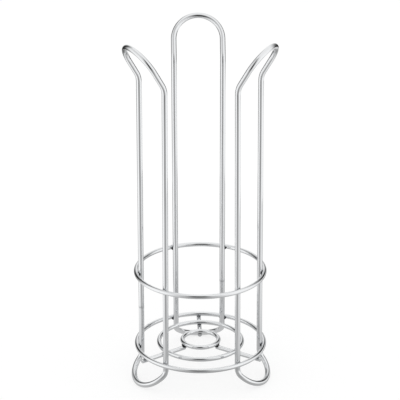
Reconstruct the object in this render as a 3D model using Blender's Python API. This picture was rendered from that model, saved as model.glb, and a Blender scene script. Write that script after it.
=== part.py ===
"""Freestanding toilet paper holder: a welded stand of chrome-plated steel wire.

Three upright loops guide a stack of rolls. Two hoops tie their legs together from outside,
and two smaller rings and three spokes make the base grille. Metres, +Z up, the floor is z = 0.
"""

from math import atan, cos, pi, radians, sin, tan

import bmesh
import bpy
from mathutils import Matrix, Vector

# Wires and the gap that stands for the fused face of each weld
LOOP_WIRE_DIAMETER = 0.0058
RING_WIRE_DIAMETER = 0.0048
SPOKE_WIRE_DIAMETER = 0.0046
CONTACT_GAP = 0.0003
WELD_DIAMETER = 0.0058

# Upright loops
HEIGHT = 0.368
LEG_SPACING = 0.0502
LEGS_TO_AXIS_AT_TOP = 0.0554
LEGS_TO_AXIS_AT_FOOT = 0.0572
TOP_BEND_RADIUS = 0.020
FOOT_BEND_RADIUS = 0.011
TOP_FLARE_ANGLE = radians(31)
TOP_FLARE_LENGTH = 0.020
FOOT_FLARE_ANGLE = radians(49)
FOOT_FLAT_DEPTH = 0.0003

# Hoops and base grille
UPPER_RING_HEIGHT = 0.1137
LOWER_RING_HEIGHT = 0.0303
MIDDLE_RING_RADIUS = 0.0438
INNER_RING_RADIUS = 0.0191
GRILLE_RISE = 0.0024
SPOKE_OVERHANG = 0.0010

# Azimuths from +X
LOOP_AZIMUTHS = {"back": radians(90), "left": radians(210), "right": radians(330)}
LEG_SIDES = {"leg_a": -1, "leg_b": 1}

# Smoothness of the curved shapes
WIRE_SIDES = 12
LOOP_END_STEPS = 16
BEND_STEPS = 4
HOOP_SEGMENTS = 60
MIDDLE_RING_SEGMENTS = 48
INNER_RING_SEGMENTS = 32
WELD_SEGMENTS = 12
WELD_RINGS = 8
SHARP_ANGLE = radians(40)

# Colours read from the photo: bright chrome, and duller metal at the welds
CHROME = (0.80, 0.81, 0.82, 1)
WELD_METAL = (0.42, 0.43, 0.44, 1)
CHROME_ROUGHNESS = 0.08
WELD_ROUGHNESS = 0.3

loop_wire_radius = LOOP_WIRE_DIAMETER / 2
ring_wire_radius = RING_WIRE_DIAMETER / 2
spoke_wire_radius = SPOKE_WIRE_DIAMETER / 2
half_spacing = LEG_SPACING / 2

# Heights of the bends: the top of the flared ends reaches HEIGHT and the feet reach the floor
top_bend_height = HEIGHT - loop_wire_radius - (TOP_FLARE_LENGTH + half_spacing) * cos(TOP_FLARE_ANGLE)
foot_bend_height = half_spacing * cos(FOOT_FLARE_ANGLE) + loop_wire_radius - FOOT_FLAT_DEPTH


def leg_centre(height):
    """Place of a leg's centre in its loop's own plan view: outwards and across."""
    share = (height - foot_bend_height) / (top_bend_height - foot_bend_height)
    outwards = LEGS_TO_AXIS_AT_FOOT + (LEGS_TO_AXIS_AT_TOP - LEGS_TO_AXIS_AT_FOOT) * share
    return Vector((outwards, half_spacing))


def hoop_radius(height):
    """Radius of a hoop that lies against the outside of all six legs at this height."""
    return leg_centre(height).length + loop_wire_radius + CONTACT_GAP + ring_wire_radius


upper_ring_radius = hoop_radius(UPPER_RING_HEIGHT)
lower_ring_radius = hoop_radius(LOWER_RING_HEIGHT)

# The spokes rise a little from the lower ring to the inner ring, and the rings lie on them
grille_slope = atan(GRILLE_RISE / (lower_ring_radius - INNER_RING_RADIUS))
ring_above_spoke = (ring_wire_radius + CONTACT_GAP + spoke_wire_radius) / cos(grille_slope)


def grille_ring_height(radius):
    """Height of a grille ring's centre line."""
    return LOWER_RING_HEIGHT + (lower_ring_radius - radius) * tan(grille_slope)


# Each ring's name, with its radius, height and segments
RINGS = {
    "upper_ring": (upper_ring_radius, UPPER_RING_HEIGHT, HOOP_SEGMENTS),
    "lower_ring": (lower_ring_radius, LOWER_RING_HEIGHT, HOOP_SEGMENTS),
    "middle_ring": (MIDDLE_RING_RADIUS, grille_ring_height(MIDDLE_RING_RADIUS), MIDDLE_RING_SEGMENTS),
    "inner_ring": (INNER_RING_RADIUS, grille_ring_height(INNER_RING_RADIUS), INNER_RING_SEGMENTS),
}

# The box round the stand is centred on the origin, so the stand's axis lies a little to the front
back_reach = (
    LEGS_TO_AXIS_AT_TOP + (TOP_FLARE_LENGTH + half_spacing) * sin(TOP_FLARE_ANGLE) + loop_wire_radius
)
front_reach = lower_ring_radius + ring_wire_radius
axis_y = (front_reach - back_reach) / 2


def clear_scene():
    """Remove everything that the scene starts with."""
    for item in list(bpy.data.objects):
        bpy.data.objects.remove(item, do_unlink=True)


def new_collection(name):
    """Add a collection to the scene."""
    collection = bpy.data.collections.new(name)
    bpy.context.scene.collection.children.link(collection)
    return collection


def finish(name, colour, roughness):
    """Metal with the given colour and roughness."""
    material = bpy.data.materials.new(name)
    material.use_nodes = True
    shader = material.node_tree.nodes["Principled BSDF"]
    shader.inputs["Base Color"].default_value = colour
    shader.inputs["Metallic"].default_value = 1
    shader.inputs["Roughness"].default_value = roughness
    return material


def put(item, collection, axis):
    """Move an object to a collection and carry it on the stand's axis."""
    for old in list(item.users_collection):
        old.objects.unlink(item)
    collection.objects.link(item)
    item.parent = axis
    return item


def shade(item, colour, roughness):
    """Give a finished piece its own material and smooth shading."""
    item.data.materials.clear()
    item.data.materials.append(finish(item.name + "_finish", colour, roughness))
    item.data.shade_smooth()
    item.data.set_sharp_from_angle(angle=SHARP_ANGLE)
    return item


def bent_profile(corners, bend_radii):
    """Side view of a bent strip: the corners joined by straight runs, with each inner one rounded."""
    points = [corners[0]]
    for before, corner, after, bend_radius in zip(corners, corners[1:], corners[2:], bend_radii):
        back = (before - corner).normalized()
        onward = (after - corner).normalized()
        half_angle = back.angle(onward) / 2
        centre = corner + (back + onward).normalized() * bend_radius / sin(half_angle)
        start = corner + back * bend_radius / tan(half_angle) - centre
        turn = -start.angle_signed(corner + onward * bend_radius / tan(half_angle) - centre)
        for step in range(BEND_STEPS + 1):
            points.append(centre + Matrix.Rotation(turn * step / BEND_STEPS, 2) @ start)
    points.append(corners[-1])
    return points


def distances_along(points):
    """Distance of each point of a path from its start."""
    distances = [0]
    for start, end in zip(points, points[1:]):
        distances.append(distances[-1] + (end - start).length)
    return distances


def point_along(points, distances, distance):
    """Point of a path at a distance from its start."""
    for start, end, near, far in zip(points, points[1:], distances, distances[1:]):
        if distance <= far:
            return start.lerp(end, (distance - near) / (far - near))
    return points[-1]


def loop_path():
    """Closed centre line of an upright loop that faces +X: a racetrack laid on the bent profile."""
    foot_bend = Vector((LEGS_TO_AXIS_AT_FOOT, foot_bend_height))
    top_bend = Vector((LEGS_TO_AXIS_AT_TOP, top_bend_height))
    foot_end = foot_bend + half_spacing * Vector((sin(FOOT_FLARE_ANGLE), -cos(FOOT_FLARE_ANGLE)))
    top_length = TOP_FLARE_LENGTH + half_spacing
    top_end = top_bend + top_length * Vector((sin(TOP_FLARE_ANGLE), cos(TOP_FLARE_ANGLE)))
    profile = bent_profile([foot_end, foot_bend, top_bend, top_end], (FOOT_BEND_RADIUS, TOP_BEND_RADIUS))
    distances = distances_along(profile)
    low, high = half_spacing, distances[-1] - half_spacing

    angles = [pi * step / LOOP_END_STEPS for step in range(LOOP_END_STEPS + 1)]
    leg = [distance for distance in distances if low < distance < high]
    track = [(distance, half_spacing) for distance in leg]
    track += [(high + half_spacing * sin(angle), half_spacing * cos(angle)) for angle in angles]
    track += [(distance, -half_spacing) for distance in reversed(leg)]
    track += [(low - half_spacing * sin(angle), -half_spacing * cos(angle)) for angle in angles]

    path = []
    for distance, across in track:
        outwards, height = point_along(profile, distances, distance)
        path.append(Vector((outwards, across, height)))
    return path


def wire_loop(name, path, radius):
    """Closed wire along a path, as a mesh made from a curve."""
    data = bpy.data.curves.new(name, "CURVE")
    data.dimensions = "3D"
    data.bevel_depth = radius
    data.bevel_resolution = (WIRE_SIDES - 4) // 2
    spline = data.splines.new("POLY")
    spline.points.add(len(path) - 1)
    for point, place in zip(spline.points, path):
        point.co = (*place, 1)
    spline.use_cyclic_u = True
    guide = bpy.data.objects.new(name + "_guide", data)
    bpy.context.scene.collection.objects.link(guide)
    bpy.context.view_layer.update()

    mesh = bpy.data.meshes.new_from_object(guide.evaluated_get(bpy.context.evaluated_depsgraph_get()))
    bpy.data.objects.remove(guide)
    shape = bmesh.new()
    shape.from_mesh(mesh)
    bmesh.ops.recalc_face_normals(shape, faces=shape.faces)
    shape.to_mesh(mesh)
    shape.free()
    return bpy.data.objects.new(name, mesh)


def ring_wire(name, radius, height, segments, wire_radius):
    """Ring round the stand's axis."""
    bpy.ops.mesh.primitive_torus_add(
        location=(0, 0, height),
        major_radius=radius,
        minor_radius=wire_radius,
        major_segments=segments,
        minor_segments=WIRE_SIDES,
    )
    ring = bpy.context.object
    ring.name = name
    return ring


def spoke_wire(name, azimuth, extra):
    """Straight wire from the middle of the inner ring's underside past the lower ring."""
    inner_end = INNER_RING_RADIUS
    outer_end = lower_ring_radius + ring_wire_radius + SPOKE_OVERHANG
    middle = (inner_end + outer_end) / 2
    height = grille_ring_height(middle) - ring_above_spoke
    bpy.ops.mesh.primitive_cylinder_add(
        vertices=WIRE_SIDES,
        radius=spoke_wire_radius + extra,
        depth=(outer_end - inner_end) / cos(grille_slope) + 2 * extra,
        location=(middle * cos(azimuth), middle * sin(azimuth), height),
        rotation=(0, pi / 2 + grille_slope, azimuth),
    )
    spoke = bpy.context.object
    spoke.name = name
    return spoke


def add_cut(piece, cutter):
    """Cut one mesh from another."""
    cut = piece.modifiers.new("cut_" + cutter.name, "BOOLEAN")
    cut.operation = "DIFFERENCE"
    cut.solver = "EXACT"
    cut.object = cutter


def floor_cutter():
    """Block under the floor that dresses each foot flat."""
    width = 2 * (back_reach + front_reach)
    depth = 2 * LOOP_WIRE_DIAMETER
    bpy.ops.mesh.primitive_cube_add(size=1, location=(0, 0, -depth / 2))
    cutter = bpy.context.object
    cutter.name = "floor_cutter"
    cutter.data.transform(Matrix.Diagonal((width, width, depth, 1)))
    return cutter


def weld_bead(name, place, wires, cutters):
    """Bead of weld metal in the corner between two crossing wires."""
    bpy.ops.mesh.primitive_uv_sphere_add(
        segments=WELD_SEGMENTS, ring_count=WELD_RINGS, radius=WELD_DIAMETER / 2, location=place
    )
    bead = bpy.context.object
    bead.name = name
    for wire in wires:
        add_cut(bead, cutters[wire])
    return bead


def at_azimuth(outwards, across, height, azimuth):
    """Turn a place that is given facing +X to an azimuth."""
    return Matrix.Rotation(azimuth, 3, "Z") @ Vector((outwards, across, height))


def all_wires(suffix, extra):
    """All the wires by name, grown all round by the extra and with the suffix to each object's name."""
    path = loop_path()
    wires = {}
    for side, azimuth in LOOP_AZIMUTHS.items():
        loop = wire_loop(side + "_loop" + suffix, path, loop_wire_radius + extra)
        loop.rotation_euler.z = azimuth
        wires[side + "_loop"] = loop
        wires[side + "_spoke"] = spoke_wire(side + "_spoke" + suffix, azimuth, extra)
    for name, (radius, height, segments) in RINGS.items():
        wires[name] = ring_wire(name + suffix, radius, height, segments, ring_wire_radius + extra)
    return wires


def weld_places():
    """Every crossing that is welded: its name, its contact point and the two wires."""
    places = []
    for ring in ("upper_ring", "lower_ring"):
        radius, height, _ = RINGS[ring]
        for side, azimuth in LOOP_AZIMUTHS.items():
            for leg, sign in LEG_SIDES.items():
                outwards, across = leg_centre(height).normalized() * (radius - ring_wire_radius)
                place = at_azimuth(outwards, sign * across, height, azimuth)
                places.append((f"weld_{ring}_{side}_{leg}", place, (ring, side + "_loop")))
    for ring in ("lower_ring", "middle_ring", "inner_ring"):
        radius, height, _ = RINGS[ring]
        for side, azimuth in LOOP_AZIMUTHS.items():
            place = at_azimuth(radius, 0, height - ring_wire_radius, azimuth)
            places.append((f"weld_{ring}_{side}_spoke", place, (ring, side + "_spoke")))
    return places


def build():
    """Make the stand."""
    clear_scene()
    stand = new_collection("toilet_paper_holder")
    tools = new_collection("cutters")
    axis = bpy.data.objects.new("stand_axis", None)
    axis.location.y = axis_y
    stand.objects.link(axis)

    floor = put(floor_cutter(), tools, None)
    cutters = all_wires("_cutter", CONTACT_GAP)
    for cutter in cutters.values():
        put(cutter, tools, axis)
    for cutter in tools.objects:
        cutter.hide_render = True
        cutter.display_type = "WIRE"

    for name, wire in all_wires("", 0).items():
        put(wire, stand, axis)
        shade(wire, CHROME, CHROME_ROUGHNESS)
        if name.endswith("_loop"):
            add_cut(wire, floor)

    for name, place, wires in weld_places():
        bead = put(weld_bead(name, place, wires, cutters), stand, axis)
        shade(bead, WELD_METAL, WELD_ROUGHNESS)


build()
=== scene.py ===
"""Freestanding toilet paper holder: the looks of the chrome wire stand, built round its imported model.

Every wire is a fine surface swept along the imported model's centre line, except that the two hoops are
pressed into the legs and the spokes into the rings, as welding does. Every weld is a fillet in the
corner of its two wires. Metres, +Z up, and the floor is z = 0.
"""

from collections import namedtuple

import bpy
import numpy as np
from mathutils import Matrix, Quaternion, Vector


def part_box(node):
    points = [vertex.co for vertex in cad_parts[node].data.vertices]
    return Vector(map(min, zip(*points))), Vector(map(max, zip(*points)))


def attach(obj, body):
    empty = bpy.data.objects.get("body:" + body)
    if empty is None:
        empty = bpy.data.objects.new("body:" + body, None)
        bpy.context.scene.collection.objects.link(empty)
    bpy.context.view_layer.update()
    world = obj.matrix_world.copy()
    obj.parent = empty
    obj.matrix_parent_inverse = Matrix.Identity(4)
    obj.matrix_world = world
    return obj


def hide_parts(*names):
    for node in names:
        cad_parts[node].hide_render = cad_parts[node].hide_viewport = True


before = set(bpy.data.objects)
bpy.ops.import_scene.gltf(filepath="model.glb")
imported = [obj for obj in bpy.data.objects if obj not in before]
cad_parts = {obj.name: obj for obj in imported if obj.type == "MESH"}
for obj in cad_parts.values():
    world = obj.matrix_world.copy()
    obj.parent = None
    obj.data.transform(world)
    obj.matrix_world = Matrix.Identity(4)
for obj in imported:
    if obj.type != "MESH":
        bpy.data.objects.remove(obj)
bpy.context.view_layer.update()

bl_info = {
    "name": "Toilet Paper Holder",
    "version": (1, 0, 0),
    "blender": (4, 5, 0),
    "location": "View3D > Sidebar > Holder",
    "description": "Builds a freestanding chrome wire toilet paper holder and its studio",
    "category": "Add Mesh",
}

# Azimuths that the loops face and azimuths of the rings' butt welds, in degrees
LOOP_AZIMUTHS = {"back": 90, "left": 210, "right": 330}
SEAM_AZIMUTHS = {"upper_ring": 116, "lower_ring": 145.5, "middle_ring": 217, "inner_ring": 212}

LEG_SIDES = {"leg_a": -1, "leg_b": 1}
HOOPS = ("upper_ring", "lower_ring")
GRILLE_RINGS = ("lower_ring", "middle_ring", "inner_ring")
ACROSS = np.array([0.0, 1.0, 0.0])
UP = np.array([0.0, 0.0, 1.0])

# Traces of manufacture and wear, in metres, apart from shares and counts of waves
SWELLING_HEIGHT = 0.00007
SWELLING_WIDTH = 0.0011
GROOVE_DEPTH = 0.00005
GROOVE_WIDTH = 0.0003
DULL_BAND_WIDTH = 0.0012
WAVE_HEIGHT = 0.00002
LOOP_WAVES_OUTWARDS = 11
LOOP_WAVES_ACROSS = 8
RING_WAVES = 5
FLATTENING_SHARE = 0.012
BEND_FADE = 0.003
HAZE_START = 0.0022
HAZE_FADE = 0.0013
RUBBED_HEIGHTS = (0.03, 0.05, 0.30, 0.34)
FOOT_RUB_HEIGHT = 0.001
SPOKE_RIM = 0.0004
BUMP_DISTANCE = 0.0002

# Detail of the fine surfaces: columns round a wire or fillet, spacing of the rows in metres, the
# densities that it is divided by, and samples along a path
WIRE_COLUMNS = 32
FILLET_COLUMNS = 48
FILLET_ROWS = 15
ROW_SPACING = 0.0011
SPOKE_ROW_SPACING = 0.0009
SPOKE_CORNER_ROWS = 6
SPOKE_FACE_SHARES = np.array([0.25, 0.5, 0.75])
LOOP_DENSITY_PLACES = (0.045, 0.055, 0.32, 0.33)
LOOP_DENSITIES = (1.4, 0.6, 0.6, 1.4)
RING_DENSITY = 0.8
SEAM_DENSITY = 4
SEAM_DENSITY_WIDTH = 0.004
DENSITY_SAMPLES = 6000
STRIP_SAMPLES = 8000

# Weld fillets: how far the neck comes in as a share of half the corner's depth, the widest reach on a
# wire as a share of its radius, the shares by which waves change the reach and the number of each,
# the ripples and the radians that they turn from end to end, and how the ends are buried in the wires
NECK_SHARE = 0.55
WIDEST_SHARE = 0.85
WAVE_SHARES = (0.01, 0.05)
WAVE_COUNTS = (2, 3, 5, 7)
RIPPLE_SHARE = 0.015
RIPPLE_COUNT = 7
RIPPLE_TWIST = 9
SINK_DEPTH = 0.00012
BURIED_DEPTH = 0.0003
BURIED_SHARES = np.array([0.3, 0.7])

# How far each weld between a ring and a spoke reaches from the contact point, in metres. The wider welds
# under the inner ring at the left and right spokes spread the near-black weld colour over the shade there:
# painted shade.
SPOKE_WELD_REACHES = {
    "lower_ring": {"back": 0.0018, "left": 0.0016, "right": 0.0016},
    "middle_ring": {"back": 0.0018, "left": 0.0016, "right": 0.0016},
    "inner_ring": {"back": 0.0016, "left": 0.0031, "right": 0.0031},
}

# Light tent: tones of its bare cloth to the right, to the left and behind, and dark strips on its wall
# and table. Azimuths are in degrees, 0 towards the camera, and grow to the right. A strip starts and
# ends at a height on the wall, or at a distance from the axis on the table, with a fade on both sides
# of each. The tones near the stand are those in front of it and behind it. The table's grey near the
# stand is a painted shadow of the stand, and the table's dark strips are painted shade of the wall's strips.
TentStrip = namedtuple("TentStrip", "azimuth half_width softness tone start start_fade end end_fade")
TENT_RADIUS = 0.55
TENT_HEIGHT = 1.2
WALL_LOW = (1.11, 1.15, 0.99)
WALL_HIGH = (1.0, 0.65, 1.02)
WALL_STRIPS = {
    "front_low": TentStrip(-4, 35, 50, 0.34, -0.1, 0.05, 0.45, 0.43),
    "front": TentStrip(-3.6, 16, 18, 0.0, 0.16, 0.07, 0.83, 0.44),
    "back_left": TentStrip(224.5, 23, 38, 0.03, 0.0, 0.1, 0.93, 0.45),
    "back_right_low": TentStrip(143, 11, 56, 0.59, -0.1, 0.05, 0.55, 0.1),
    "back_right": TentStrip(135, 26, 32, 0.0, 0.16, 0.05, 0.62, 0.42),
}
# Grey of the table near the stand, in front and behind: painted shadow of the stand
TABLE_NEAR_SHADOW_TONES = (0.54, 0.55)
TABLE_FAR = (0.95, 1.14, 1.09)
# Dark strips on the table: painted shade of the wall's dark strips on it, and the pool just in front of the
# stand a painted shadow of it
TABLE_SHADE_STRIPS = {
    "front": TentStrip(-6.6, 30, 75, 0.3, 0.14, 0.11, 0.9, 0.1),
    "painted_shade_pool": TentStrip(5.7, 48, 75, 0.33, 0.07, 0.04, 0.12, 0.045),
    "back_left": TentStrip(213.5, 26, 60, 0.15, 0.2, 0.04, 0.9, 0.1),
    "back_right": TentStrip(143, 33, 60, 0.35, 0.09, 0.01, 0.9, 0.1),
}

# Where one tone of the cloth blends into another: by how far a place lies to the left of the stand or
# behind it, as a share of its distance, by height on the wall and by distance from the axis on the table
LEFT_BLEND_SHARES = (-0.5, 0.5)
BACK_BLEND_SHARES = (-0.2, 0.6)
NEAR_BACK_BLEND_SHARES = (-0.2, 0.8)
WALL_BLEND_HEIGHTS = (0.1, 1.15)
TABLE_BLEND_DISTANCES = (0.005, 0.3)

# Grid of the tent: degrees between its columns, heights of its rows and their distances on the table
TENT_DEGREES = 2.0
WALL_HEIGHTS = np.linspace(0, TENT_HEIGHT, 61)
TABLE_DISTANCES = np.concatenate([np.linspace(0.004, 0.12, 20), np.linspace(0.13, TENT_RADIUS, 40)])

# Stage, in metres where no other unit is named. The tent's table lies just above the floor, and both
# lie just below the stand.
FLOOR_HALF_WIDTH = 3.0
FLOOR_DROP = 0.0001
TABLE_DROP = 0.00005
SENSOR_MILLIMETRES = 36
CLIP_END = 30
WHITE = (1, 1, 1, 1)


def ring_in_frame(node):
    """Radius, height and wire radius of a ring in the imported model, and the place of its middle along Y."""
    low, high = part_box(node)
    wire_radius = (high.z - low.z) / 2
    return (high.x - low.x) / 2 - wire_radius, (high.z + low.z) / 2, wire_radius, (high.y + low.y) / 2


RINGS = {name: ring_in_frame(name) for name in SEAM_AZIMUTHS}
axis_y = RINGS["upper_ring"][3]
ring_wire_radius = RINGS["upper_ring"][2]
stand_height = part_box("back_loop")[1].z
loop_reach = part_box("back_loop")[1].y - axis_y


def length(name, default, description):
    """A length in metres as a property."""
    return bpy.props.FloatProperty(
        name=name, default=default, description=description, unit="LENGTH", precision=5
    )


def angle(name, default, description):
    """An angle as a property, given in degrees."""
    return bpy.props.FloatProperty(
        name=name, default=np.radians(default), description=description, subtype="ANGLE"
    )


def colour(name, default, description):
    """A colour as a property."""
    return bpy.props.FloatVectorProperty(
        name=name, default=default, description=description, subtype="COLOR", size=3, min=0, max=1
    )


def number(name, default, description):
    """A plain number as a property."""
    return bpy.props.FloatProperty(name=name, default=default, description=description, min=0, precision=4)


class HolderSizes(bpy.types.PropertyGroup):
    """Sizes of the wires."""

    height: length("Height", stand_height, "Height of the stand")
    loop_wire: length("Loop wire", 0.0058, "Diameter of the upright loops' wire")
    spoke_wire: length("Spoke wire", 0.0046, "Diameter of the spokes' wire")
    inset: length("Inset", 0.00009, "How far the fine loops and rings lie inside the packed model's")
    contact_gap: length("Contact gap", 0.0003, "Gap between touching wires in the packed model")
    weld_sink: length("Weld sink", 0.0005, "How far two wires overlap at a weld, before the inset")
    leg_spacing: length("Leg spacing", 0.0502, "Distance between a loop's two legs")
    top_reach: length("Legs at the top", 0.0554, "From the stand's axis to the legs at their top bend")
    foot_reach: length("Legs at the foot", 0.0572, "From the stand's axis to the legs at their foot bend")
    top_bend: length("Top bend", 0.020, "Radius of the bends below the flared tops")
    foot_bend: length("Foot bend", 0.011, "Radius of the bends above the flared feet")
    top_flare: angle("Top flare", 31, "Angle of the loops' tops from the legs")
    reach: length("Reach", loop_reach, "From the stand's axis to the tip of a flared top")
    foot_flare: angle("Foot flare", 49, "Angle of the loops' feet from the legs")
    foot_flat: length("Foot flat", 0.0003, "Depth of the flat under each foot")
    spoke_overhang: length("Spoke overhang", 0.0010, "How far a spoke runs past the lower ring")
    hoop_weld_height: length("Hoop weld height", 0.0016, "How far a hoop's weld reaches along the leg")
    hoop_weld_reach: length("Hoop weld reach", 0.0037, "How far a hoop's weld reaches along the hoop")
    hoop_weld_sag: length("Hoop weld sag", 0.0007, "How far a hoop's weld lies below the hoop's middle")
    butt_weld_height: length("Butt weld height", 0.0755, "Height of the back and left loops' butt welds")


class HolderFinish(bpy.types.PropertyGroup):
    """Colours and polish of the metal."""

    chrome: colour("Chrome", (0.80, 0.81, 0.82), "Colour of the polished chrome")
    haze: colour("Haze", (0.50, 0.51, 0.52), "Colour of the duller plating round the welds")
    # Near-black weld colour: weld metal, and painted shade in the crease where two wires cross
    weld: colour("Weld", (0.025, 0.025, 0.027), "Colour of the plated weld metal")
    polish: number("Polish", 0.06, "Roughness of the polished wire")
    dull: number("Dull", 0.34, "Roughness of the duller plating")


class HolderStudio(bpy.types.PropertyGroup):
    """Camera, floor and light."""

    elevation: angle("Camera elevation", 21.8, "How far the camera looks down")
    azimuth: angle("Camera azimuth", -1.503, "Turn of the camera round the stand's axis")
    roll: angle("Camera roll", -0.115, "Turn of the camera about its own line of sight")
    distance: length("Camera distance", 1.672, "From the camera to the point that it looks at")
    aim: length("Aim height", 0.19175, "Height of the point that the camera looks at")
    aside: length("Aim aside", -0.00013, "How far that point lies to the right of the stand's axis")
    lens: number("Lens", 147.0, "Focal length of the camera in millimetres, on a 36 mm frame")
    floor_colour: colour("Floor", (0.28, 0.28, 0.28), "Colour of the floor where it isn't lifted")
    floor_lift: number("Floor lift", 0.73, "How much the floor is lifted towards white")
    sky: number("Sky", 1.0, "Strength of the white surroundings")


def sizes():
    """The sizes that the pieces are built from."""
    return bpy.context.scene.holder_sizes


def finish():
    """The colours and polish that the materials are built from."""
    return bpy.context.scene.holder_finish


def studio():
    """The settings of the camera, floor and light."""
    return bpy.context.scene.holder_studio


# Shader maths


class Term:
    """A number inside a material: arithmetic on terms adds Math nodes."""

    def __init__(self, shading, socket):
        self.shading = shading
        self.socket = socket

    def __add__(self, other):
        return self.shading.maths("ADD", self, other)

    def __sub__(self, other):
        return self.shading.maths("SUBTRACT", self, other)

    def __rsub__(self, other):
        return self.shading.maths("SUBTRACT", other, self)

    def __mul__(self, other):
        return self.shading.maths("MULTIPLY", self, other)

    __radd__ = __add__
    __rmul__ = __mul__

    def ramp(self, low, high, to_low=0.0, to_high=1.0):
        """Smooth step from one value to another as this number goes from low to high."""
        values = {"Value": self, "From Min": low, "From Max": high, "To Min": to_low, "To Max": to_high}
        return self.shading.node("ShaderNodeMapRange", {"interpolation_type": "SMOOTHSTEP"}, values)


class Shading:
    """The node tree of a material or of the world."""

    def __init__(self, owner):
        owner.use_nodes = True
        self.nodes = owner.node_tree.nodes
        self.links = owner.node_tree.links
        self.nodes.clear()

    def node(self, kind, settings=None, values=None, output=0):
        """Adds a node, sets its settings, then its sockets' values or links, and gives an output of it."""
        made = self.nodes.new(kind)
        for name, value in (settings or {}).items():
            setattr(made, name, value)
        for name, value in (values or {}).items():
            if isinstance(value, Term):
                self.links.new(value.socket, made.inputs[name])
            else:
                made.inputs[name].default_value = value
        return Term(self, made.outputs[output]) if len(made.outputs) else None

    def maths(self, operation, *values):
        """One Math node."""
        return self.node("ShaderNodeMath", {"operation": operation}, dict(enumerate(values)))

    def vector(self, x, y, z):
        """Three numbers as a vector."""
        return self.node("ShaderNodeCombineXYZ", None, {"X": x, "Y": y, "Z": z})

    def parts(self, vector):
        """The three numbers of a vector."""
        made = self.nodes.new("ShaderNodeSeparateXYZ")
        self.links.new(vector.socket, made.inputs[0])
        return [Term(self, made.outputs[name]) for name in "XYZ"]

    def mix(self, factor, first, second):
        """Colour between two others: the Mix node's inputs 6 and 7 and its output 2 are colours."""
        made = self.nodes.new("ShaderNodeMix")
        made.data_type = "RGBA"
        for place, value in ((0, factor), (6, first), (7, second)):
            if isinstance(value, Term):
                self.links.new(value.socket, made.inputs[place])
            else:
                made.inputs[place].default_value = value
        return Term(self, made.outputs[2])

    def noise(self, vector, scale, detail, roughness=0.5):
        """Soft noise from 0 to 1."""
        values = {"Vector": vector, "Scale": scale, "Detail": detail, "Roughness": roughness}
        return self.node("ShaderNodeTexNoise", None, values)

    def place(self):
        """Place on the object."""
        return self.node("ShaderNodeTexCoord", output="Object")

    def metal(self, tone, roughness, height, strength):
        """Metal surface of a colour and roughness, with bumps of a height."""
        bump = self.node(
            "ShaderNodeBump", None, {"Strength": strength, "Distance": BUMP_DISTANCE, "Height": height}
        )
        shader = self.node(
            "ShaderNodeBsdfPrincipled",
            None,
            {"Base Color": tone, "Metallic": 1.0, "Roughness": roughness, "Normal": bump},
        )
        self.node("ShaderNodeOutputMaterial", None, {"Surface": shader})


def rgba(value):
    """A colour with full alpha."""
    return (*value, 1.0)


def straightened(shading):
    """Place on the wire as if it were straight: cosine and sine of the turn round it, and the distance."""
    round_share, along, _ = shading.parts(shading.node("ShaderNodeUVMap", {"uv_map": "wire"}))
    turn = round_share * (2 * np.pi)
    return shading.maths("COSINE", turn), shading.maths("SINE", turn), along


def wire_chrome():
    """Chrome plate on drawn wire: lines along it, soft haze, tiny pits and duller plating by the welds."""
    look = finish()
    material = bpy.data.materials.new("wire_chrome")
    shading = Shading(material)
    cosine, sine, along = straightened(shading)
    marks = shading.node("ShaderNodeAttribute", {"attribute_name": "marks"}, output="Color")
    haze, rub, butt = shading.parts(marks)
    place = shading.place()

    drawn = shading.vector(cosine * 9.0, sine * 9.0, along * 22.0)
    lines = shading.noise(drawn, scale=1.0, detail=4.0, roughness=0.62)
    cloud = shading.noise(place, scale=46.0, detail=3.0, roughness=0.55)
    grain = shading.noise(place, scale=1500.0, detail=2.0)
    pits = shading.noise(place, scale=620.0, detail=1.0, roughness=0.4).ramp(0.70, 0.78)
    rubbed = shading.vector(cosine * 3.0, sine * 3.0, along * 90.0)
    scuffs = shading.noise(rubbed, scale=2.2, detail=5.0, roughness=0.7).ramp(0.52, 0.75)

    dulled = (haze * (cloud * 0.5 + 0.65)).ramp(0.0, 1.0)
    worn = rub * scuffs
    tone = shading.mix(dulled, rgba(look.chrome), rgba(look.haze))
    tone = shading.mix(butt * (lines * 0.5 + 0.6), tone, rgba(look.haze))
    tone = shading.mix(pits * 0.35 + (cloud - 0.5) * 0.08, tone, rgba(look.haze))
    roughness = look.polish + (cloud - 0.5) * 0.05 + (lines - 0.5) * 0.06 + worn * 0.10
    roughness = roughness + dulled * (look.dull - look.polish) + butt * 0.22
    height = lines * 0.5 + grain * 0.18 - pits * 0.7 - worn * 0.3
    shading.metal(tone, roughness, height, strength=0.05)
    return material


def weld_chrome_and_crease_shade():
    """Plated weld metal: dark and rough in the crease, with fine ripples. Its near-black colour is partly
    painted shade of that crease.
    """
    look = finish()
    material = bpy.data.materials.new("weld_chrome_and_crease_shade")
    shading = Shading(material)
    place = shading.place()
    blotches = shading.noise(place, scale=900.0, detail=3.0, roughness=0.6)
    ripples = shading.noise(place, scale=2600.0, detail=2.0)
    tone = shading.mix(blotches.ramp(0.45, 0.85, 0.0, 0.35), rgba(look.weld), rgba(look.haze))
    shading.metal(tone, ripples * 0.2 + look.dull, blotches * 0.6 + ripples * 0.4, strength=0.35)
    return material


def cut_chrome():
    """Plated face of a sheared wire: shear lines across it."""
    look = finish()
    material = bpy.data.materials.new("cut_chrome")
    shading = Shading(material)
    x, y, z = shading.parts(shading.place())
    across = shading.vector(x * 0.2, y * 0.2, z * 4.0)
    shear = shading.noise(across, scale=1100.0, detail=3.0, roughness=0.6)
    tone = shading.mix(shear, rgba(look.haze), rgba(look.chrome))
    shading.metal(tone, shear * 0.2 + 0.25, shear, strength=0.3)
    return material


def material_of(make):
    """The material that a function makes, made once."""
    return bpy.data.materials.get(make.__name__) or make()


# Surfaces


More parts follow.
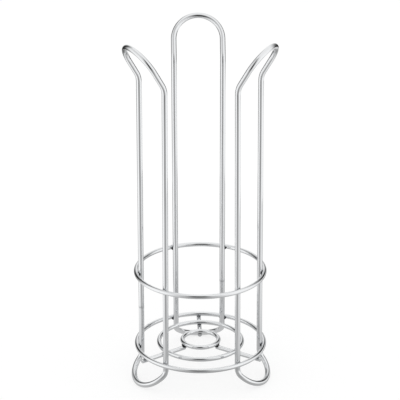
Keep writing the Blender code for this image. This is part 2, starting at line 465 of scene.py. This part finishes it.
def grid_faces(rows, columns, closed):
    """Faces of a grid whose columns go round a tube and whose rows go along it, facing out.

    A face joins row i and the next row, and column j and the next column. A closed grid also joins its
    last row to its first.
    """
    row, column = np.meshgrid(np.arange(rows if closed else rows - 1), np.arange(columns), indexing="ij")
    next_row = (row + 1) % rows
    next_column = (column + 1) % columns
    corners = [row * columns + column, row * columns + next_column]
    corners += [next_row * columns + next_column, next_row * columns + column]
    return np.stack(corners, axis=-1).reshape(-1, 4)


def grid_places(stations, columns, closed, total):
    """Share round the tube and distance along it for each corner of each face of the grid."""
    along = np.append(stations, total) if closed else stations
    row, column = np.meshgrid(np.arange(len(along) - 1), np.arange(columns), indexing="ij")
    round_shares = np.stack([column, column + 1, column + 1, column], axis=-1) / columns
    distances = np.stack([along[row], along[row], along[row + 1], along[row + 1]], axis=-1)
    return np.stack([round_shares, distances], axis=-1).reshape(-1, 2)


def cap_faces(rows, columns):
    """Faces that close both ends of an open grid with two poles, whose points follow the grid's."""
    column = np.arange(columns)
    following = (column + 1) % columns
    pole = rows * columns
    last_row = pole - columns
    return np.concatenate([
        np.stack([np.full(columns, pole), following, column], axis=-1),
        np.stack([np.full(columns, pole + 1), last_row + column, last_row + following], axis=-1),
    ])


def turns_round(columns):
    """Angle of each column round a wire."""
    return 2 * np.pi * np.arange(columns) / columns


def bell(value, width):
    """Bell curve, 1 at nought: e to the power of minus (value / width) squared."""
    return np.exp(-((value / width) ** 2))


def sweep(centres, sideways, forwards, radii):
    """Points of a tube: centre + radius x (cosine of the turn x sideways + sine of the turn x upwards).

    Upwards is forwards x sideways, so the turn goes round the path to the right. Radii has a row for
    each centre and a column for each turn.
    """
    upwards = np.cross(forwards, sideways)
    turns = turns_round(radii.shape[1])
    rounds = np.cos(turns)[:, None] * sideways[:, None, :] + np.sin(turns)[:, None] * upwards[:, None, :]
    return centres[:, None, :] + radii[:, :, None] * rounds


def put_piece(name, points, faces, materials, places=None, marks=None, face_materials=None):
    """A mesh object at the origin from its points and faces, riding on the stand."""
    mesh = bpy.data.meshes.new(name)
    mesh.from_pydata(points, (), faces)
    for make in materials:
        mesh.materials.append(material_of(make))
    if face_materials is not None:
        mesh.polygons.foreach_set("material_index", face_materials)
    if places is not None:
        layer = mesh.uv_layers.new(name="wire")
        layer.uv.foreach_set("vector", places.astype(np.float32).ravel())
    if marks is not None:
        layer = mesh.attributes.new("marks", "FLOAT_VECTOR", "POINT")
        layer.data.foreach_set("vector", marks.astype(np.float32).ravel())
    mesh.shade_smooth()
    mesh.update()
    if mesh.validate():
        raise RuntimeError(name + " has faces that don't join up")
    piece = bpy.data.objects.new(name, mesh)
    bpy.context.scene.collection.objects.link(piece)
    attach(piece, "root")
    return piece


def about_axis(points, azimuth):
    """Points given facing +X from the stand's axis, turned to an azimuth and put on the axis."""
    cosine, sine = np.cos(azimuth), np.sin(azimuth)
    turn = np.array([[cosine, -sine, 0], [sine, cosine, 0], [0, 0, 1]])
    return points @ turn.T + np.array([0, axis_y, 0])


def turned(vectors, azimuth):
    """Directions that are given facing +X, turned to an azimuth."""
    return about_axis(vectors, azimuth) - np.array([0, axis_y, 0])


def stations_along(total, density):
    """Distances along a path, closer together where the density is higher.

    The running sum of the density is split into equal parts, the row spacing where it is 1.
    """
    fine = np.linspace(0, total, DENSITY_SAMPLES)
    weights = density(fine)
    running = np.concatenate([[0], np.cumsum((weights[1:] + weights[:-1]) / 2 * np.diff(fine))])
    count = int(running[-1] / ROW_SPACING)
    return np.interp(np.arange(count) * running[-1] / count, running, fine)


class Strip:
    """Side view of a loop: a bent strip from the foot's end to the top's end.

    The direction's angle from upright is constant along each straight run and turns evenly through each
    bend. The place is the running sum of the direction.
    """

    def __init__(self):
        size = sizes()
        self.half = size.leg_spacing / 2
        wire = size.loop_wire / 2
        top_length = (size.reach - wire - size.top_reach) / np.sin(size.top_flare)
        top_height = size.height - wire - top_length * np.cos(size.top_flare)
        foot_height = self.half * np.cos(size.foot_flare) + wire - size.foot_flat
        leg = np.array([size.top_reach - size.foot_reach, top_height - foot_height])
        lean = np.arctan2(leg[0], leg[1])
        turns = np.array([lean + size.foot_flare, size.top_flare - lean])
        bend_radii = np.array([size.foot_bend, size.top_bend])
        tangents = bend_radii * np.tan(turns / 2)
        bends = bend_radii * turns
        runs = [self.half - tangents[0], bends[0], np.hypot(*leg) - tangents.sum(), bends[1]]
        runs.append(top_length - tangents[1])
        self.breaks = np.concatenate([[0], np.cumsum(runs)])
        self.total = self.breaks[-1]
        self.angles = np.repeat([-size.foot_flare, lean, size.top_flare], 2)
        self.distances = np.linspace(0, self.total, STRIP_SAMPLES)
        angles = np.interp(self.distances, self.breaks, self.angles)
        steps = np.stack([np.sin(angles), np.cos(angles)], axis=-1)
        middles = (steps[1:] + steps[:-1]) / 2 * np.diff(self.distances)[:, None]
        start_outwards = size.foot_reach + self.half * np.sin(size.foot_flare)
        start = [start_outwards, foot_height - self.half * np.cos(size.foot_flare)]
        self.points = np.concatenate([[start], start + np.cumsum(middles, axis=0)])

    def at(self, distance):
        """Outwards, height and the direction's angle at distances along the strip."""
        outwards = np.interp(distance, self.distances, self.points[:, 0])
        height = np.interp(distance, self.distances, self.points[:, 1])
        return outwards, height, np.interp(distance, self.breaks, self.angles)

    def bent(self, distance):
        """Share of a bend's full effect: 1 inside a bend, falling off beside it."""
        shares = []
        for start, end in ((self.breaks[1], self.breaks[2]), (self.breaks[3], self.breaks[4])):
            beside = np.maximum(np.maximum(start - distance, distance - end), 0)
            shares.append(bell(beside, BEND_FADE))
        return np.maximum(*shares)


def loop_track(strip, distance):
    """Track of a loop on its flat strip: along and across, and their rates.

    It goes up one leg, round a half circle, down the other leg and round a half circle again.
    """
    low, high = strip.half, strip.total - strip.half
    run, arc = high - low, np.pi * strip.half
    part = np.searchsorted([run, run + arc, 2 * run + arc], distance, side="right")
    into = distance - np.array([0, run, run + arc, 2 * run + arc])[part]
    sine, cosine = np.sin(into / strip.half), np.cos(into / strip.half)
    along = np.choose(part, [low + into, high + strip.half * sine, high - into, low - strip.half * sine])
    across = np.choose(part, [-strip.half, -strip.half * cosine, strip.half, strip.half * cosine])
    along_rate = np.choose(part, [1, cosine, -1, -cosine])
    across_rate = np.choose(part, [0, sine, 0, -sine])
    return along, across, along_rate, across_rate


def loop_path(distance, strip):
    """Centres, sideways and forwards directions of a loop that faces +X, at distances along it."""
    along, across, along_rate, across_rate = loop_track(strip, distance)
    outwards, height, angle_up = strip.at(along)
    nought = np.zeros_like(along)
    centres = np.stack([outwards, across, height], axis=-1)
    up_strip = np.stack([np.sin(angle_up), nought, np.cos(angle_up)], axis=-1)
    sideways = np.stack([np.cos(angle_up), nought, -np.sin(angle_up)], axis=-1)
    forwards = along_rate[:, None] * up_strip + across_rate[:, None] * ACROSS
    return centres, sideways, forwards


def from_seam(distance, total):
    """Distance from the seam of a closed wire, the shorter way round."""
    return np.minimum(distance, total - distance)


def seam_density(distance, total):
    """Extra density of the rows beside the seam of a closed wire."""
    return SEAM_DENSITY * bell(from_seam(distance, total), SEAM_DENSITY_WIDTH)


def collar(distance, total):
    """Height of the ground butt weld at a closed wire's seam: a low swelling with a groove in it."""
    off = from_seam(distance, total)
    return SWELLING_HEIGHT * bell(off, SWELLING_WIDTH) - GROOVE_DEPTH * bell(off, GROOVE_WIDTH)


def drawn_wave(distance, total, waves):
    """Slight waves that a straightening machine leaves in wire, a whole number of them on its length."""
    return WAVE_HEIGHT * np.sin(2 * np.pi * waves * distance / total)


def weld_haze(points):
    """Share of dull plating at each point: it fades over a few millimetres from the nearest weld."""
    nearest = np.full(len(points), np.inf)
    for weld in weld_places():
        nearest = np.minimum(nearest, np.linalg.norm(points - weld["place"], axis=1))
    return bell(np.maximum(nearest - HAZE_START, 0), HAZE_FADE)


def facing(points, centres, direction):
    """Share by which each point of a tube faces a direction, from 0 to 1."""
    outward = points - centres[:, None, :]
    outward = outward / np.linalg.norm(outward, axis=2, keepdims=True)
    return np.clip((outward * direction).sum(axis=2), 0, 1).ravel()


def closed_wire(name, centres, sideways, forwards, distance, total, radii, rub):
    """A closed wire as a piece that replaces its node. Its underside is cut flat at the floor."""
    points = sweep(centres, sideways, forwards, radii)
    points[..., 2] = np.maximum(points[..., 2], 0)
    flat = points.reshape(-1, 3)
    butt = np.repeat(bell(from_seam(distance, total), DULL_BAND_WIDTH), WIRE_COLUMNS)
    marks = np.stack([weld_haze(flat), rub(points, centres), butt], axis=-1)
    faces = grid_faces(len(distance), WIRE_COLUMNS, True)
    places = grid_places(distance, WIRE_COLUMNS, True, total)
    piece = put_piece(name + "_wire", flat, faces, [wire_chrome], places, marks)
    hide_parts(name)


def upright_loop(side):
    """One upright loop, from its butt weld round and back.

    The right loop's butt weld is behind the upper ring.
    """
    size = sizes()
    strip = Strip()
    run = strip.total - 2 * strip.half
    total = 2 * run + 2 * np.pi * strip.half
    seam_height = RINGS["upper_ring"][1] if side == "right" else size.butt_weld_height
    seam = np.interp(seam_height, strip.points[:, 1], strip.distances) - strip.half

    def density(distance):
        along = loop_track(strip, (distance + seam) % total)[0]
        return np.interp(along, LOOP_DENSITY_PLACES, LOOP_DENSITIES) + seam_density(distance, total)

    distance = stations_along(total, density)
    track = (distance + seam) % total
    centres, sideways, forwards = loop_path(track, strip)
    centres = centres + drawn_wave(distance, total, LOOP_WAVES_OUTWARDS)[:, None] * sideways
    centres[:, 1] += drawn_wave(distance, total, LOOP_WAVES_ACROSS)
    bent = strip.bent(loop_track(strip, track)[0])[:, None]
    flattening = FLATTENING_SHARE * bent * np.cos(2 * turns_round(WIRE_COLUMNS))
    wire_radius = size.loop_wire / 2 - size.inset
    radii = wire_radius * (1 - np.maximum(flattening, 0)) + collar(distance, total)[:, None]
    azimuth = np.radians(LOOP_AZIMUTHS[side])

    def rub(points, middles):
        height = points[..., 2].ravel()
        reached = np.interp(height, RUBBED_HEIGHTS, (0, 1, 1, 0))
        inward = turned(np.array([-1.0, 0, 0]), azimuth)
        rolls = facing(points, middles, inward) ** 2 * reached
        return rolls + np.interp(height, (0, FOOT_RUB_HEIGHT), (1, 0))

    centres = about_axis(centres, azimuth)
    sideways, forwards = turned(sideways, azimuth), turned(forwards, azimuth)
    closed_wire(side + "_loop", centres, sideways, forwards, distance, total, radii, rub)


def settled_ring(name):
    """Radius, height and wire radius of a ring, with the hoops pressed into the legs."""
    radius, height, wire_radius, _ = RINGS[name]
    if name in HOOPS:
        radius -= sizes().contact_gap + sizes().weld_sink
    return radius, height, wire_radius


def ring(name):
    """One ring, from its butt weld round and back: a circle, swept by a circle."""
    radius, height, wire_radius = settled_ring(name)
    total = 2 * np.pi * radius

    def density(distance):
        return RING_DENSITY + seam_density(distance, total)

    distance = stations_along(total, density)
    turn = distance / radius + np.radians(SEAM_AZIMUTHS[name])
    nought = np.zeros_like(turn)
    sideways = np.stack([np.cos(turn), np.sin(turn), nought], axis=-1)
    forwards = np.stack([-np.sin(turn), np.cos(turn), nought], axis=-1)
    centres = sideways * radius + np.array([0, axis_y, height])
    centres[:, 2] += drawn_wave(distance, total, RING_WAVES)
    plain = np.full((len(turn), WIRE_COLUMNS), wire_radius - sizes().inset)
    radii = plain + collar(distance, total)[:, None]

    def rub(points, middles):
        return facing(points, middles, UP) ** 3

    closed_wire(name, centres, sideways, forwards, distance, total, radii, rub)


def grille_slope():
    """Angle by which the spokes rise towards the middle."""
    outer, inner = RINGS["lower_ring"], RINGS["inner_ring"]
    return np.arctan2(inner[1] - outer[1], outer[0] - inner[0])


def spoke(side):
    """One spoke: a straight wire with sheared ends, its rims rounded, swept along its axis."""
    size = sizes()
    slope = grille_slope()
    lower, inner = RINGS["lower_ring"], RINGS["inner_ring"]
    wire_radius = size.spoke_wire / 2
    drop = (ring_wire_radius - size.weld_sink + wire_radius) / np.cos(slope)
    near = inner[0]
    far = lower[0] + ring_wire_radius + size.spoke_overhang
    corner = np.linspace(0, np.pi / 2, SPOKE_CORNER_ROWS)
    total = (far - near) / np.cos(slope)
    face_rows = len(SPOKE_FACE_SHARES)
    face_radius = wire_radius - SPOKE_RIM
    end_distance = np.concatenate([np.zeros(face_rows), SPOKE_RIM * (1 - np.cos(corner))])
    end_radius = np.concatenate([face_radius * SPOKE_FACE_SHARES, face_radius + SPOKE_RIM * np.sin(corner)])
    body = np.linspace(SPOKE_RIM, total - SPOKE_RIM, int(total / SPOKE_ROW_SPACING))[1:-1]
    distance = np.concatenate([end_distance, body, total - end_distance[::-1]])
    radius = np.concatenate([end_radius, np.full(len(body), wire_radius), end_radius[::-1]])
    forwards = np.array([np.cos(slope), 0, -np.sin(slope)])
    start = np.array([near, 0, lower[1] + (lower[0] - near) * np.tan(slope) - drop])
    centres = start + distance[:, None] * forwards
    sideways = np.broadcast_to(ACROSS, centres.shape)
    ahead = np.broadcast_to(forwards, centres.shape)
    azimuth = np.radians(LOOP_AZIMUTHS[side])
    tube = sweep(centres, sideways, ahead, np.repeat(radius[:, None], WIRE_COLUMNS, 1))
    points = about_axis(np.concatenate([tube.reshape(-1, 3), centres[[0, -1]]]), azimuth)
    rows = len(distance)
    caps = cap_faces(rows, WIRE_COLUMNS)
    faces = grid_faces(rows, WIRE_COLUMNS, False).tolist() + caps.tolist()
    marks = weld_haze(points)[:, None] * np.array([1.0, 0, 0])
    cap_places = np.tile([0.5, 0.0], (caps.size, 1))
    places = np.concatenate([grid_places(distance, WIRE_COLUMNS, False, total), cap_places])
    row = np.repeat(np.arange(rows - 1), WIRE_COLUMNS)
    is_cut = (row < face_rows) | (row >= rows - 1 - face_rows)
    face_materials = np.concatenate([is_cut, np.ones(len(caps), bool)]).astype(np.int32)
    looks = [wire_chrome, cut_chrome]
    piece = put_piece(side + "_spoke_wire", points, faces, looks, places, marks, face_materials)
    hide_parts(side + "_spoke")


def leg_at(height):
    """Place of a leg's centre line in its loop's own plan view, at a height between the bends."""
    strip = Strip()
    outwards = np.interp(height, strip.points[:, 1], strip.points[:, 0])
    return np.array([outwards, strip.half])


def weld_places():
    """Every weld, with the first wire under the second.

    Each has its node, its contact point, the direction across from the first wire to the second, the
    directions along both wires, the wires' radii and the weld's reach along each wire.
    """
    size = sizes()
    slope = grille_slope()
    found = []
    for hoop in HOOPS:
        radius, height, wire_radius = settled_ring(hoop)
        plan = leg_at(height)
        plan = plan / np.linalg.norm(plan)
        for side, degrees in LOOP_AZIMUTHS.items():
            for leg, sign in LEG_SIDES.items():
                out = turned(np.array([plan[0], sign * plan[1], 0]), np.radians(degrees))
                contact = out * (radius - wire_radius + size.weld_sink / 2)
                contact += np.array([0, axis_y, height - size.hoop_weld_sag])
                found.append({
                    "node": f"weld_{hoop}_{side}_{leg}",
                    "place": contact,
                    "across": out,
                    "first": UP,
                    "second": np.cross(UP, out),
                    "radii": (size.loop_wire / 2, wire_radius),
                    "reaches": (size.hoop_weld_height, size.hoop_weld_reach),
                })
    for name in GRILLE_RINGS:
        radius, height, wire_radius = settled_ring(name)
        for side, degrees in LOOP_AZIMUTHS.items():
            reach = SPOKE_WELD_REACHES[name][side]
            azimuth = np.radians(degrees)
            out = turned(np.array([np.cos(slope), 0, -np.sin(slope)]), azimuth)
            up = turned(np.array([np.sin(slope), 0, np.cos(slope)]), azimuth)
            ring_middle = about_axis(np.array([radius, 0, height]), azimuth)
            found.append({
                "node": f"weld_{name}_{side}_spoke",
                "place": ring_middle - up * (wire_radius - size.weld_sink / 2),
                "across": up,
                "first": out,
                "second": np.cross(up, out),
                "radii": (size.spoke_wire / 2, wire_radius),
                "reaches": (reach, reach),
            })
    return found


def drop_beside(off, radius):
    """How far a wire's surface lies below the contact point at a distance off its top.

    It is radius - root of (radius squared - off squared), less half the sink. Off stops at the widest
    share of the radius.
    """
    off = np.minimum(off, WIDEST_SHARE * radius)
    return radius - np.sqrt(np.maximum(radius**2 - off**2, 0)) - sizes().weld_sink / 2


def weld_fillet(weld, seed):
    """Fillet of weld metal in the corner of two crossing wires, closed by poles inside both wires.

    At each turn round the contact point the fillet starts on the first wire's surface, comes in to a
    narrower neck and ends on the second wire's surface. Its reach follows a rounded oblong, whose two
    half lengths raised to the fourth power add up to one, and varies with a few seeded waves.
    """
    random = np.random.default_rng(seed)
    turns = turns_round(FILLET_COLUMNS)
    waves = sum(
        random.uniform(*WAVE_SHARES) * np.cos(count * turns + random.uniform(0, 2 * np.pi))
        for count in WAVE_COUNTS
    )
    first_reach, second_reach = weld["reaches"]
    oblong = ((np.cos(turns) / first_reach) ** 4 + (np.sin(turns) / second_reach) ** 4) ** -0.25
    reach = oblong * (1 + waves)
    first_drop, second_drop = [
        drop_beside(reach * np.abs(off_share), radius)
        for off_share, radius in zip((np.sin(turns), np.cos(turns)), weld["radii"])
    ]
    neck = reach - NECK_SHARE * (first_drop + second_drop) / 2
    step = np.linspace(0, 1, FILLET_ROWS)
    curve = 1 - 4 * (step - 0.5) ** 2
    radial = reach[None, :] - (reach - neck)[None, :] * curve[:, None]
    rise = first_drop + second_drop + 2 * SINK_DEPTH
    height = -first_drop[None, :] - SINK_DEPTH + rise[None, :] * step[:, None]
    radial = np.concatenate([BURIED_SHARES[:, None] * reach, radial, BURIED_SHARES[::-1, None] * reach])
    height = np.concatenate([
        np.tile(height[0] - BURIED_DEPTH, (2, 1)), height, np.tile(height[-1] + BURIED_DEPTH, (2, 1))
    ])
    rows = len(radial)
    twist = RIPPLE_TWIST * np.linspace(0, 1, rows)[:, None]
    radial = radial * (1 + RIPPLE_SHARE * np.sin(RIPPLE_COUNT * turns + twist))
    points = (
        weld["place"]
        + (radial * np.cos(turns))[..., None] * weld["first"]
        + (radial * np.sin(turns))[..., None] * weld["second"]
        + height[..., None] * weld["across"]
    )
    poles = weld["place"] + np.array([height[0].mean(), height[-1].mean()])[:, None] * weld["across"]
    all_points = np.concatenate([points.reshape(-1, 3), poles])
    faces = grid_faces(rows, FILLET_COLUMNS, False).tolist() + cap_faces(rows, FILLET_COLUMNS).tolist()
    piece = put_piece(weld["node"] + "_fillet", all_points, faces, [weld_chrome_and_crease_shade])
    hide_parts(weld["node"])


# Studio


def floor_material():
    """Pale floor that the camera and the metal see as white, with the stand's shadow on it."""
    settings = studio()
    material = bpy.data.materials.new("pale_floor")
    shading = Shading(material)
    path = shading.nodes.new("ShaderNodeLightPath")
    seen = Term(shading, path.outputs["Is Camera Ray"]) + Term(shading, path.outputs["Is Glossy Ray"])
    seen = seen + Term(shading, path.outputs["Is Transmission Ray"])
    diffuse = shading.node("ShaderNodeBsdfDiffuse", None, {"Color": rgba(settings.floor_colour)})
    strength = seen * settings.floor_lift
    lift = shading.node("ShaderNodeEmission", None, {"Color": WHITE, "Strength": strength})
    both = shading.node("ShaderNodeAddShader", None, {0: diffuse, 1: lift})
    shading.node("ShaderNodeOutputMaterial", None, {"Surface": both})
    return material


def add_world():
    """White surroundings."""
    world = bpy.data.worlds.new("studio")
    bpy.context.scene.world = world
    shading = Shading(world)
    light = shading.node("ShaderNodeBackground", None, {"Color": WHITE, "Strength": studio().sky})
    shading.node("ShaderNodeOutputWorld", None, {"Surface": light})


def soft_step(low, high, value):
    """Smooth step from 0 to 1 as the value goes from low to high: 3 t squared - 2 t cubed."""
    part = np.clip((value - low) / (high - low), 0, 1)
    return part**2 * (3 - 2 * part)


def blend(first, second, part):
    """From the first value to the second as part goes from 0 to 1."""
    return first + (second - first) * part


def with_strips(tones, strips, azimuth, place):
    """Tones with dark strips, whose share falls from 1 to 0 over their soft sides, starts and ends."""
    for strip in strips.values():
        off = np.abs((azimuth - strip.azimuth + 180) % 360 - 180)
        side = strip.softness / 2
        part = 1 - soft_step(strip.half_width - side, strip.half_width + side, off)
        part = part * soft_step(strip.start - strip.start_fade, strip.start + strip.start_fade, place)
        part = part * (1 - soft_step(strip.end - strip.end_fade, strip.end + strip.end_fade, place))
        tones = blend(tones, strip.tone, part)
    return tones


def cloth_tones(azimuth, right, left, back):
    """Tones of the bare cloth round the stand, blended from its right, left and back sides."""
    turn = np.radians(azimuth)
    tones = blend(right, left, soft_step(*LEFT_BLEND_SHARES, -np.sin(turn)))
    return blend(tones, back, soft_step(*BACK_BLEND_SHARES, -np.cos(turn)))


def wall_tones(azimuth, height):
    """Tones of the tent's wall: bare cloth that changes towards its top, with dark strips."""
    low, high = cloth_tones(azimuth, *WALL_LOW), cloth_tones(azimuth, *WALL_HIGH)
    tones = blend(low, high, soft_step(*WALL_BLEND_HEIGHTS, height))
    return with_strips(tones, WALL_STRIPS, azimuth, height)


def table_tones(azimuth, distance):
    """Tones of the tent's table: greyer near the stand than far from it, a painted shadow of the stand, with
    dark strips of painted shade.
    """
    near = blend(*TABLE_NEAR_SHADOW_TONES, soft_step(*NEAR_BACK_BLEND_SHARES, -np.cos(np.radians(azimuth))))
    tones = blend(near, cloth_tones(azimuth, *TABLE_FAR), soft_step(*TABLE_BLEND_DISTANCES, distance))
    return with_strips(tones, TABLE_SHADE_STRIPS, azimuth, distance)


def add_tent():
    """Light tent round the stand, which shows only in its metal: a round wall on a round table.

    The last face closes the middle of the table.
    """
    degrees = np.arange(0, 360, TENT_DEGREES)
    wall_height, wall_azimuth = np.meshgrid(WALL_HEIGHTS, degrees, indexing="ij")
    table_distance, table_azimuth = np.meshgrid(TABLE_DISTANCES, degrees, indexing="ij")
    azimuth = np.concatenate([table_azimuth, wall_azimuth])
    radial = np.concatenate([table_distance, np.full_like(wall_height, TENT_RADIUS)])
    height = np.concatenate([np.full_like(table_distance, -TABLE_DROP), wall_height])
    on_table = table_tones(table_azimuth, table_distance)
    on_wall = wall_tones(wall_azimuth, wall_height)
    tones = np.concatenate([on_table, on_wall]).ravel().astype(np.float32)
    turn = np.radians(azimuth)
    points = np.stack([radial * np.sin(turn), axis_y - radial * np.cos(turn), height], axis=-1)
    faces = [*grid_faces(*azimuth.shape, False).tolist(), list(range(len(degrees)))]
    mesh = bpy.data.meshes.new("light_tent")
    mesh.from_pydata(points.reshape(-1, 3), (), faces)
    mesh.attributes.new("tone", "FLOAT", "POINT").data.foreach_set("value", tones)
    material = bpy.data.materials.new("tent_cloth")
    shading = Shading(material)
    tone = shading.node("ShaderNodeAttribute", {"attribute_name": "tone"}, output="Fac")
    light = shading.node("ShaderNodeEmission", None, {"Color": WHITE, "Strength": tone})
    shading.node("ShaderNodeOutputMaterial", None, {"Surface": light})
    mesh.materials.append(material)
    tent = bpy.data.objects.new("light_tent", mesh)
    tent.visible_camera = False
    tent.visible_diffuse = False
    tent.visible_shadow = False
    bpy.context.scene.collection.objects.link(tent)


def add_floor():
    """Plain floor under the stand."""
    corners = np.array([(-1, -1, 0), (1, -1, 0), (1, 1, 0), (-1, 1, 0)]) * FLOOR_HALF_WIDTH
    mesh = bpy.data.meshes.new("floor")
    mesh.from_pydata(corners, (), [(0, 1, 2, 3)])
    mesh.materials.append(floor_material())
    floor = bpy.data.objects.new("floor", mesh)
    floor.location.z = -FLOOR_DROP
    bpy.context.scene.collection.objects.link(floor)


def add_camera():
    """Camera at the photograph's viewing angle."""
    settings = studio()
    target = Vector((settings.aside, axis_y, settings.aim))
    level = settings.distance * np.cos(settings.elevation)
    rise = settings.distance * np.sin(settings.elevation)
    back = Vector((level * np.sin(settings.azimuth), -level * np.cos(settings.azimuth), rise))
    data = bpy.data.cameras.new("camera")
    data.lens = settings.lens
    data.sensor_width = SENSOR_MILLIMETRES
    data.clip_end = CLIP_END
    camera = bpy.data.objects.new("camera", data)
    camera.location = target + back
    camera.rotation_mode = "QUATERNION"
    camera.rotation_quaternion = (-back).to_track_quat("-Z", "Y") @ Quaternion((0, 0, 1), settings.roll)
    bpy.context.scene.collection.objects.link(camera)
    bpy.context.scene.camera = camera


# Operators


class HOLDER_OT_upright_loops(bpy.types.Operator):
    """Build the three upright loops"""

    bl_idname = "holder.upright_loops"
    bl_label = "Upright Loops"

    def execute(self, context):
        for side in LOOP_AZIMUTHS:
            upright_loop(side)
        return {"FINISHED"}


class HOLDER_OT_rings(bpy.types.Operator):
    """Build the two hoops and the two inner rings of the grille"""

    bl_idname = "holder.rings"
    bl_label = "Rings"

    def execute(self, context):
        for name in RINGS:
            ring(name)
        return {"FINISHED"}


class HOLDER_OT_spokes(bpy.types.Operator):
    """Build the three spokes"""

    bl_idname = "holder.spokes"
    bl_label = "Spokes"

    def execute(self, context):
        for side in LOOP_AZIMUTHS:
            spoke(side)
        return {"FINISHED"}


class HOLDER_OT_welds(bpy.types.Operator):
    """Build the fillet of every weld"""

    bl_idname = "holder.welds"
    bl_label = "Welds"

    def execute(self, context):
        for seed, weld in enumerate(weld_places()):
            weld_fillet(weld, seed)
        return {"FINISHED"}


class HOLDER_OT_studio(bpy.types.Operator):
    """Set up the floor, the light and the camera"""

    bl_idname = "holder.studio"
    bl_label = "Studio"

    def execute(self, context):
        add_floor()
        add_tent()
        add_world()
        add_camera()
        bpy.context.scene.view_settings.view_transform = "Standard"
        return {"FINISHED"}


class HOLDER_PT_stand(bpy.types.Panel):
    """Sizes, finish and operators of the toilet paper holder"""

    bl_idname = "HOLDER_PT_stand"
    bl_label = "Toilet Paper Holder"
    bl_space_type = "VIEW_3D"
    bl_region_type = "UI"
    bl_category = "Holder"

    def draw(self, context):
        for group in (sizes(), finish(), studio()):
            box = self.layout.box()
            for name in group.__annotations__:
                box.prop(group, name)
        for operator in OPERATORS:
            self.layout.operator(operator.bl_idname)


GROUPS = {"holder_sizes": HolderSizes, "holder_finish": HolderFinish, "holder_studio": HolderStudio}
OPERATORS = (
    HOLDER_OT_upright_loops, HOLDER_OT_rings, HOLDER_OT_spokes, HOLDER_OT_welds, HOLDER_OT_studio
)


def register():
    """Register the groups, the operators and the panel."""
    for name, group in GROUPS.items():
        bpy.utils.register_class(group)
        setattr(bpy.types.Scene, name, bpy.props.PointerProperty(type=group))
    for item in (*OPERATORS, HOLDER_PT_stand):
        bpy.utils.register_class(item)


def unregister():
    """Remove what register added."""
    for item in (HOLDER_PT_stand, *reversed(OPERATORS)):
        bpy.utils.unregister_class(item)
    for name, group in reversed(GROUPS.items()):
        delattr(bpy.types.Scene, name)
        bpy.utils.unregister_class(group)


def main():
    """Build everything."""
    register()
    bpy.ops.holder.upright_loops()
    bpy.ops.holder.rings()
    bpy.ops.holder.spokes()
    bpy.ops.holder.welds()
    bpy.ops.holder.studio()


if __name__ == "__main__":
    main()
